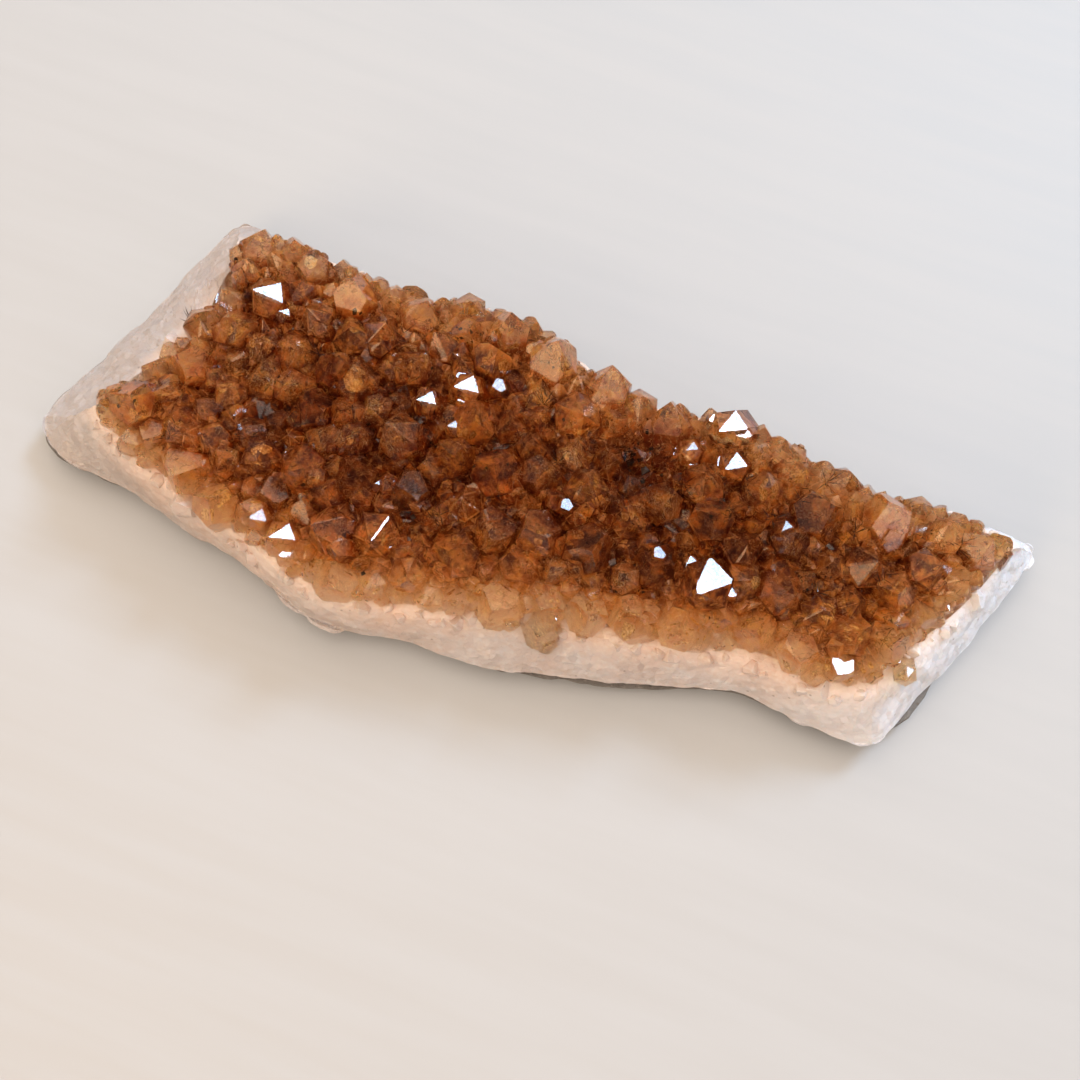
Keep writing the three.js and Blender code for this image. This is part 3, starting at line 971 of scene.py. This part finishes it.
def quartz_slab(rim_bodies):
    """The quartz slab: broken edge, sloping rim with milky points, floor under the crust."""
    outline = closed_curve(EDGE, SLAB_STEPS)
    rim = outline[:, 2]
    shares = np.linspace(0, 1, SLAB_RIM_RINGS)
    insets = [rim * share ** SLAB_RIM_CROWDING for share in shares]
    insets += [rim + past for past in SLAB_FLOOR_RINGS]
    rings = [ring(outline, inset, SKIN_TOP + above) for inset, above in SLAB_SIDE]
    rings += [ring(outline, inset, slab_height) for inset in insets]
    piece = new_mesh_object("quartz_slab", *ring_body(rings))

    def breakage(places):
        amount = 0.45 * lumps(places, 7, 5) + 0.22 * lumps(places, 2.4, 11)
        amount += 0.32 * chips(places, 4.5, 2)
        amount += 0.10 * lumps(places, 1.1, 23)
        above_skin = np.clip((places[:, 2] - SKIN_TOP) / 1.2, 0, 1)
        return (amount - 0.35) * above_skin

    weather(piece, breakage)
    join_to(piece, rim_bodies)
    mark_past_rim(piece)
    return piece


def skin_inset(outline):
    """How far the basalt skin's side stands in from the slab's edge."""
    inset = np.full(len(outline), SKIN_INSET)
    for x, y, amount, reach in SKIN_LEDGES:
        inset -= amount * near(outline[:, 0], outline[:, 1], x, y, reach)
    return inset


def basalt_skin():
    """The worn basalt skin below the slab, flat where it rests."""
    outline = closed_curve(EDGE, SKIN_STEPS)
    inset = skin_inset(outline)
    rings = [ring(outline, inset + further, 0) for further in SKIN_REST]
    wide, high = SKIN_ROUND
    for share in (0.2, 0.4, 0.6, 0.8, 1.0):
        turn = share * math.pi / 2
        further = SKIN_ROUND_INSET + wide * (1 - math.sin(turn))
        rings.append(ring(outline, inset + further, high * (1 - math.cos(turn))))
    rings += [ring(outline, inset + further, height) for further, height in SKIN_SIDE]
    piece = new_mesh_object("basalt_skin", *ring_body(rings))

    def wear(places):
        amount = 0.4 * lumps(places, 5, 41) + 0.2 * lumps(places, 1.7, 43)
        amount += 0.25 * chips(places, 3.2, 9)
        off_the_table = np.clip(places[:, 2] / 0.8, 0, 1)
        return (amount - 0.25) * off_the_table

    weather(piece, wear)
    return piece


def direction(azimuth, elevation):
    """Unit vector towards a place at this azimuth from +X and this elevation, in degrees."""
    turn, lift = math.radians(azimuth), math.radians(elevation)
    level = math.cos(lift)
    return Vector((math.cos(turn) * level, math.sin(turn) * level, math.sin(lift)))


# ------------------------------------------------------------------- materials

QUARTZ_IOR = 1.544


class Shader:
    """A material that is built node by node."""

    def __init__(self, name):
        self.material = bpy.data.materials.new(name)
        self.material.use_nodes = True
        self.tree = self.material.node_tree
        self.tree.nodes.clear()
        self.output = self.add("ShaderNodeOutputMaterial")

    def add(self, kind, inputs=None, **settings):
        """A node with these settings; each input is a value or another node's socket."""
        node = self.tree.nodes.new(kind)
        for key, value in settings.items():
            setattr(node, key, value)
        for key, value in (inputs or {}).items():
            socket = node.inputs[key]
            if isinstance(value, bpy.types.NodeSocket):
                self.tree.links.new(value, socket)
            else:
                socket.default_value = value
        return node

    def vector(self, operation, first, second):
        """Vector maths; a dot product gives a number."""
        node = self.add("ShaderNodeVectorMath", {0: first, 1: second}, operation=operation)
        return node.outputs["Value" if operation == "DOT_PRODUCT" else "Vector"]

    def place(self):
        """Place on the piece in millimetres."""
        where = self.add("ShaderNodeTexCoord").outputs["Object"]
        return self.vector("MULTIPLY", where, (1 / MM, 1 / MM, 1 / MM))

    def stored(self, name):
        """A number that the mesh keeps for its material."""
        return self.add("ShaderNodeAttribute", attribute_name=name).outputs["Fac"]

    def noise(self, place, size, detail=2.0, roughness=0.5, stretch=None):
        """Noise from 0 to 1 with lumps of about this many millimetres."""
        if stretch:
            place = self.vector("MULTIPLY", place, stretch)
        inputs = {"Vector": place, "Scale": 1 / size, "Detail": detail, "Roughness": roughness}
        return self.add("ShaderNodeTexNoise", inputs).outputs["Fac"]

    def voronoi(self, place, size, **settings):
        """The outputs of cells of about this many millimetres."""
        inputs = {"Vector": place, "Scale": 1 / size}
        return self.add("ShaderNodeTexVoronoi", inputs, **settings).outputs

    def cells(self, place, size):
        """Distance to the middle of the cell."""
        return self.voronoi(place, size)["Distance"]

    def crack(self, place, size):
        """Distance to the walls between cells."""
        return self.voronoi(place, size, feature="DISTANCE_TO_EDGE")["Distance"]

    def mosaic(self, place, size):
        """Height of flat scales, each sloping its own way."""
        scales = self.voronoi(place, size)
        from_middle = self.vector("SUBTRACT", place, scales["Position"])
        slope = self.vector("SUBTRACT", scales["Color"], (0.5, 0.5, 0.5))
        return self.vector("DOT_PRODUCT", from_middle, slope)

    def bend(self, place, amount, size):
        """The place pushed about by noise, so that what follows it runs in curves."""
        inputs = {"Vector": place, "Scale": 1 / size, "Detail": 1}
        push = self.add("ShaderNodeTexNoise", inputs).outputs["Color"]
        centred = self.vector("SUBTRACT", push, (0.5, 0.5, 0.5))
        return self.vector("ADD", place, self.vector("MULTIPLY", centred, (amount, amount, amount)))

    def remap(self, value, low, high, to_low=0.0, to_high=1.0):
        """The value from low to high brought to another range and held inside it."""
        inputs = {
            "Value": value, "From Min": low, "From Max": high, "To Min": to_low, "To Max": to_high,
        }
        return self.add("ShaderNodeMapRange", inputs, clamp=True).outputs["Result"]

    def math(self, operation, first, second):
        """Maths with two numbers."""
        node = self.add("ShaderNodeMath", {0: first, 1: second}, operation=operation)
        return node.outputs["Value"]

    def mix(self, share, first, second, blend="MIX"):
        """Colour mix; a colour is a socket or three numbers."""
        def colour(value):
            return value if isinstance(value, bpy.types.NodeSocket) else (*value, 1.0)
        node = self.add("ShaderNodeMix", data_type="RGBA", blend_type=blend)
        for index, value in ((0, share), (6, colour(first)), (7, colour(second))):
            if isinstance(value, bpy.types.NodeSocket):
                self.tree.links.new(value, node.inputs[index])
            else:
                node.inputs[index].default_value = value
        return node.outputs[2]

    def bump(self, height, strength, depth, below=None):
        """Bump of this depth in millimetres."""
        inputs = {"Height": height, "Strength": strength, "Distance": depth * MM}
        if below:
            inputs["Normal"] = below
        return self.add("ShaderNodeBump", inputs).outputs["Normal"]

    def surface(self, **inputs):
        """Principled surface; input names are written with _ for each space."""
        named = {key.replace("_", " "): value for key, value in inputs.items()}
        node = self.add("ShaderNodeBsdfPrincipled", named)
        self.tree.links.new(node.outputs["BSDF"], self.output.inputs["Surface"])

    def absorption(self, colour, density):
        """Plain absorption inside the piece."""
        inputs = {"Color": (*colour, 1.0), "Density": density}
        node = self.add("ShaderNodeVolumeAbsorption", inputs)
        self.tree.links.new(node.outputs["Volume"], self.output.inputs["Volume"])


def citrine_material():
    """Amber quartz: clear skin, golden wisps and brown cracks, with painted shade at the roots and
    a painted glow towards the tips.
    """
    shader = Shader("citrine")
    place = shader.place()
    tint = shader.add("ShaderNodeVertexColor", layer_name="tint").outputs["Color"]
    amber = shader.stored("amber")
    frost = shader.stored("frost")

    # Painted shade at the root and a painted glow in patches towards the tip, with a cloudy border
    # between them.
    cloud = shader.noise(place, 2.2, 3, 0.65)
    low = shader.math("ADD", shader.stored("rise"), shader.remap(cloud, 0.3, 0.7, -0.5, 0.5))
    dark = shader.math("MULTIPLY", shader.remap(low, 0.45, -0.45, 0.0, 0.95), amber)
    colour = shader.mix(dark, tint, (0.34, 0.10, 0.03), "MULTIPLY")
    patch = shader.remap(cloud, 0.50, 0.62, 0.0, 0.75)
    light = shader.math("MULTIPLY", patch, shader.remap(low, -0.1, 0.5))
    colour = shader.mix(light, colour, (1.0, 0.80, 0.50), "OVERLAY")

    # Fine wisps, pale ones and brown ones.
    wisps = shader.noise(shader.bend(place, 1.5, 1.0), 0.7, 4, 0.75, stretch=(1.0, 0.5, 0.3))
    colour = shader.mix(shader.remap(wisps, 0.55, 0.68, 0.0, 0.6), colour, (1.0, 0.84, 0.56))
    brown = shader.remap(wisps, 0.46, 0.34, 0.0, 0.7)
    colour = shader.mix(brown, colour, (0.80, 0.50, 0.28), "MULTIPLY")

    # Dark cracks and pale seams, in the broken stretches only.
    broken = shader.math("MULTIPLY", shader.remap(shader.noise(place, 3.0), 0.42, 0.56), amber)
    bent = shader.bend(place, 3.2, 1.1)
    crack = shader.remap(shader.crack(bent, 3.0), 0.0, 0.05, 1.0, 0.0)
    colour = shader.mix(shader.math("MULTIPLY", crack, broken), colour, (0.05, 0.012, 0.004))
    seam = shader.remap(shader.crack(bent, 2.1), 0.0, 0.035, 0.85, 0.0)
    colour = shader.mix(shader.math("MULTIPLY", seam, broken), colour, (1.0, 0.90, 0.70))

    # Waxy points have a rougher skin of fine scales.
    grain = shader.remap(shader.noise(place, 0.4, 1, 0.6), 0.3, 0.7, 0.0, 0.08)
    roughness = shader.math("ADD", grain, shader.remap(frost, 0.0, 2.0, 0.0, 0.24))
    scales = shader.math("MULTIPLY", shader.mosaic(place, 0.9), shader.remap(frost, 0.0, 0.3))
    relief = shader.bump(scales, 1.0, 0.03)
    relief = shader.bump(shader.noise(place, 0.9, 2, 0.5), 0.5, 0.02, relief)
    shader.surface(
        Base_Color=colour, Roughness=roughness, IOR=QUARTZ_IOR, Transmission_Weight=0.96,
        Normal=relief,
    )
    shader.absorption((0.975, 0.735, 0.25), 84)
    return shader.material


def mottled_material(name, size, dark, light, roughness, shares=None):
    """Two colours in spots of this size; the roughness is one number, or a range."""
    shader = Shader(name)
    mottle = shader.noise(shader.place(), size, 3, 0.6)
    colour = shader.mix(shader.remap(mottle, *shares) if shares else mottle, dark, light)
    if isinstance(roughness, tuple):
        roughness = shader.remap(mottle, 0.3, 0.7, *roughness)
    shader.surface(Base_Color=colour, Roughness=roughness)
    return shader.material


def quartz_material():
    """Milky quartz: sugary grain, faint pink clouds, amber where the points are rooted; painted
    window light at the right end and painted shade on the bare rim.
    """
    shader = Shader("milky_quartz")
    place = shader.place()
    cloud = shader.noise(place, 9, 2, 0.6)
    fine = shader.noise(place, 1.3, 3, 0.6)
    fibres = shader.noise(shader.bend(place, 2.0, 3.0), 1.6, 4, 0.7, stretch=(0.5, 1.0, 1.0))
    specks = shader.cells(place, 3.1)
    along = shader.add("ShaderNodeSeparateXYZ", {"Vector": place}).outputs["X"]
    past_rim = shader.stored("past_rim")
    ragged = shader.remap(shader.noise(place, 2.6, 3), 0.3, 0.7, -2.2, 2.2)
    uneven = shader.math("ADD", past_rim, ragged)
    patches = shader.remap(shader.noise(place, 2.8, 4, 0.65), 0.40, 0.60)
    root = shader.mix(patches, (0.24, 0.07, 0.015), (1.0, 0.74, 0.40))

    # Tints over each other: what each follows, from where to where, and its shares there.
    colour = shader.mix(shader.remap(cloud, 0.35, 0.65), (0.89, 0.74, 0.66), (0.92, 0.83, 0.78))
    for value, low, high, to_low, to_high, tint in (
        (fine, 0.5, 0.72, 0, 0.6, (0.97, 0.93, 0.90)),
        (fibres, 0.5, 0.32, 0, 0.35, (0.80, 0.60, 0.46)),
        # Painted light and shade: cooler and whiter at the right end, towards the window, a little
        # greyer at the left one.
        (along, 50, 85, 0, 0.85, (0.97, 0.985, 1.0)),
        (along, -60, -84, 0, 0.7, (0.94, 0.90, 0.88)),
        # Inwards from the rim: honey, then amber, then the mottled roots of the points.
        (uneven, -0.5, 3.0, 0, 0.5, (1.0, 0.90, 0.78)),
        (uneven, 2.5, 6.5, 0, 0.85, (0.96, 0.60, 0.26)),
        (uneven, 5.5, 9.5, 0, 1, root),
        (specks, 0.05, 0.09, 0.5, 0, (0.25, 0.16, 0.11)),
    ):
        colour = shader.mix(shader.remap(value, low, high, to_low, to_high), colour, tint)

    # Painted shade: the bare rim is darkened, most of all at the left end; under the points a
    # lighter warm multiply.
    painted_rim_shade = shader.mix(shader.remap(along, -75, 75), (0.50, 0.47, 0.455), (0.74, 0.75, 0.78))
    bare = shader.remap(past_rim, -4.5, 0.6, 1.0, 0.0)
    painted_rim_shade = shader.mix(bare, (0.90, 0.77, 0.68), painted_rim_shade)
    colour = shader.mix(1.0, colour, painted_rim_shade, "MULTIPLY")

    relief = shader.bump(shader.mosaic(place, 1.4), 1.0, 0.35)
    relief = shader.bump(shader.cells(place, 0.55), 0.4, 0.10, relief)
    relief = shader.bump(shader.noise(place, 0.5, 2, 0.6), 0.5, 0.12, relief)
    shader.surface(
        Base_Color=colour, Roughness=shader.remap(fine, 0.3, 0.7, 0.28, 0.6), IOR=QUARTZ_IOR,
        Subsurface_Weight=0.25, Subsurface_Radius=(0.004, 0.0025, 0.0018), Subsurface_Scale=1.0,
        Normal=relief,
    )
    return shader.material


def basalt_material():
    """Basalt: grey brown, fine grained, with small pores."""
    shader = Shader("basalt")
    place = shader.place()
    cloud = shader.noise(place, 4, 4, 0.6)
    grain = shader.noise(place, 0.6, 4, 0.7)
    colour = shader.mix(cloud, (0.10, 0.085, 0.075), (0.26, 0.24, 0.22))
    colour = shader.mix(shader.remap(grain, 0.5, 0.7, 0, 0.5), colour, (0.36, 0.33, 0.30))
    pores = shader.cells(place, 1.3)
    relief = shader.bump(shader.remap(pores, 0.0, 0.3), 0.7, 0.25)
    relief = shader.bump(grain, 0.6, 0.15, relief)
    roughness = shader.remap(grain, 0.3, 0.7, 0.6, 0.9)
    shader.surface(Base_Color=colour, Roughness=roughness, Normal=relief)
    return shader.material


# The window's azimuth, and how far from the middle the table's painted window light stops changing
# tone towards it.
WINDOW_AZIMUTH = 65
TABLE_FADE = 110


def table_material():
    """Pale painted table top with faint streaks, and painted window light: cooler towards the
    window.
    """
    shader = Shader("table")
    place = shader.place()
    streaks = shader.noise(place, 6, 2, 0.6, stretch=(0.1, 1.0, 1.0))
    # Painted window light: the table is cooler towards the window and warmer away from it.
    towards_window = shader.vector("DOT_PRODUCT", place, direction(WINDOW_AZIMUTH, 0))
    painted_window_light = shader.remap(towards_window, -TABLE_FADE, TABLE_FADE)
    colour = shader.mix(painted_window_light, (0.455, 0.435, 0.415), (0.44, 0.455, 0.47))
    colour = shader.mix(shader.remap(streaks, 0.35, 0.65, 0, 0.3), colour, (0.48, 0.48, 0.48))
    shader.surface(Base_Color=colour, Roughness=0.6)
    return shader.material


# ------------------------------------------------------------------ the object


def finish_piece(piece, material, slot, *nodes):
    """Gives the piece its material and puts it on the frame in place of the model's nodes."""
    piece.data.materials.clear()
    piece.data.materials.append(material)
    piece.data.polygons.foreach_set("material_index", [0] * len(piece.data.polygons))
    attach(piece, "root")
    if nodes:
        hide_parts(*nodes)


points = lay_out_points()
rim_points = lay_out_rim_points(points)
points += side_points(points)
shape = FixedRandom(SHAPE_START)
bodies = [point_body(point, shape) for point in points]
crust = join_to(new_mesh_object("citrine_points", *crust_floor()), shapes_of(bodies))
shares = cloudy_shares(points)
paint_crust(crust, points, shares, *owner_of_faces(crust, bodies))
finish_piece(crust, citrine_material(), "citrine", "citrine_crystals")

# Pale gold glossy veils, pale matt haze and nearly black brown iron oxide.
veil_look = mottled_material(
    "veil", 0.5, (0.50, 0.22, 0.06), (0.98, 0.72, 0.36), (0.15, 0.4), (0.35, 0.65),
)
haze_look = mottled_material("haze", 0.5, (1.0, 0.77, 0.46), (1.0, 0.92, 0.76), 0.6)
iron_look = mottled_material(
    "iron_oxide", 0.3, (0.012, 0.006, 0.004), (0.07, 0.03, 0.012), (0.45, 0.8),
)
finish_piece(veils(points, bodies), veil_look, "citrine")
finish_piece(haze(points, bodies, shares), haze_look, "citrine")
finish_piece(inclusions(), iron_look, "citrine")

slab = quartz_slab(shapes_of([point_body(point, shape) for point in rim_points]))
finish_piece(slab, quartz_material(), "milky_quartz", "quartz_matrix")

finish_piece(basalt_skin(), basalt_material(), "basalt", "basalt_rind")

# ------------------------------------------------------- table, light, camera

TABLE_HALF = 1.5
table_mesh = bpy.data.meshes.new("table")
square = ((-1, -1), (1, -1), (1, 1), (-1, 1))
table_corners = [(x * TABLE_HALF, y * TABLE_HALF, 0) for x, y in square]
table_mesh.from_pydata(table_corners, [], [(0, 1, 2, 3)])
table = put_in_scene("table", table_mesh)
table_mesh.materials.append(table_material())


def aim(item, place, target):
    """Puts a light or a camera at a place, looking at the target."""
    item.location = place
    item.rotation_euler = (target - place).to_track_quat("-Z", "Y").to_euler()


def area_light(name, azimuth, elevation, distance, size, power, colour):
    """A square soft light that faces the object from this way."""
    light = bpy.data.lights.new(name, "AREA")
    light.shape = "SQUARE"
    light.size = size
    light.energy = power
    light.color = colour
    aim(put_in_scene(name, light), direction(azimuth, elevation) * distance, Vector((0, 0, 0)))


# Name, azimuth, elevation, distance, size, power and colour of each light.
LIGHTS = [
    ("window", WINDOW_AZIMUTH, 38, 2.4, 0.6, 31, (0.47, 0.71, 1.0)),
    ("ceiling", 100, 70, 2.0, 3.2, 43, (1.0, 0.85, 0.72)),
    ("warm_room", WINDOW_AZIMUTH + 180, 30, 0.9, 0.5, 2.6, (1.0, 0.75, 0.48)),
    ("wall_right", 335, 28, 2.0, 0.7, 3.2, (1.0, 0.88, 0.92)),
    ("wall_left", 200, 24, 2.0, 0.7, 1.4, (0.92, 0.90, 1.0)),
]
for light_row in LIGHTS:
    area_light(*light_row)


def studio_world():
    """Soft light from above, dim near the horizon."""
    world = bpy.data.worlds.new("studio")
    bpy.context.scene.world = world
    world.use_nodes = True
    tree = world.node_tree
    where = tree.nodes.new("ShaderNodeTexCoord").outputs["Generated"]
    split = tree.nodes.new("ShaderNodeSeparateXYZ")
    tree.links.new(where, split.inputs[0])
    rising = tree.nodes.new("ShaderNodeMapRange")
    rising.interpolation_type = "SMOOTHSTEP"
    tree.links.new(split.outputs["Z"], rising.inputs["Value"])
    for key, value in (("From Min", 0.0), ("From Max", 0.9), ("To Min", 0.04), ("To Max", 0.62)):
        rising.inputs[key].default_value = value
    background = tree.nodes["Background"]
    background.inputs["Color"].default_value = (1.0, 0.94, 0.88, 1.0)
    tree.links.new(rising.outputs["Result"], background.inputs["Strength"])


studio_world()
bpy.context.scene.view_settings.view_transform = "Standard"
bpy.context.scene.view_settings.look = "Medium High Contrast"

# The camera looks down at a place near the middle of the object.
VIEW_AZIMUTH, VIEW_ELEVATION, VIEW_DISTANCE = -69.5, 76.7, 0.2031
VIEW_FROM_CENTRE = Vector((4.8, -4.4)) * MM
LENS, SENSOR = 36.67, 36
centre = (Vector(CAD_BOX[0]) + Vector(CAD_BOX[1])) / 2
target = (centre.xy + VIEW_FROM_CENTRE).to_3d()
camera = put_in_scene("camera", bpy.data.cameras.new("camera"))
camera.data.lens = LENS
camera.data.sensor_width = SENSOR
camera.data.clip_start = 0.01
aim(camera, target + direction(VIEW_AZIMUTH, VIEW_ELEVATION) * VIEW_DISTANCE, target)
bpy.context.scene.camera = camera
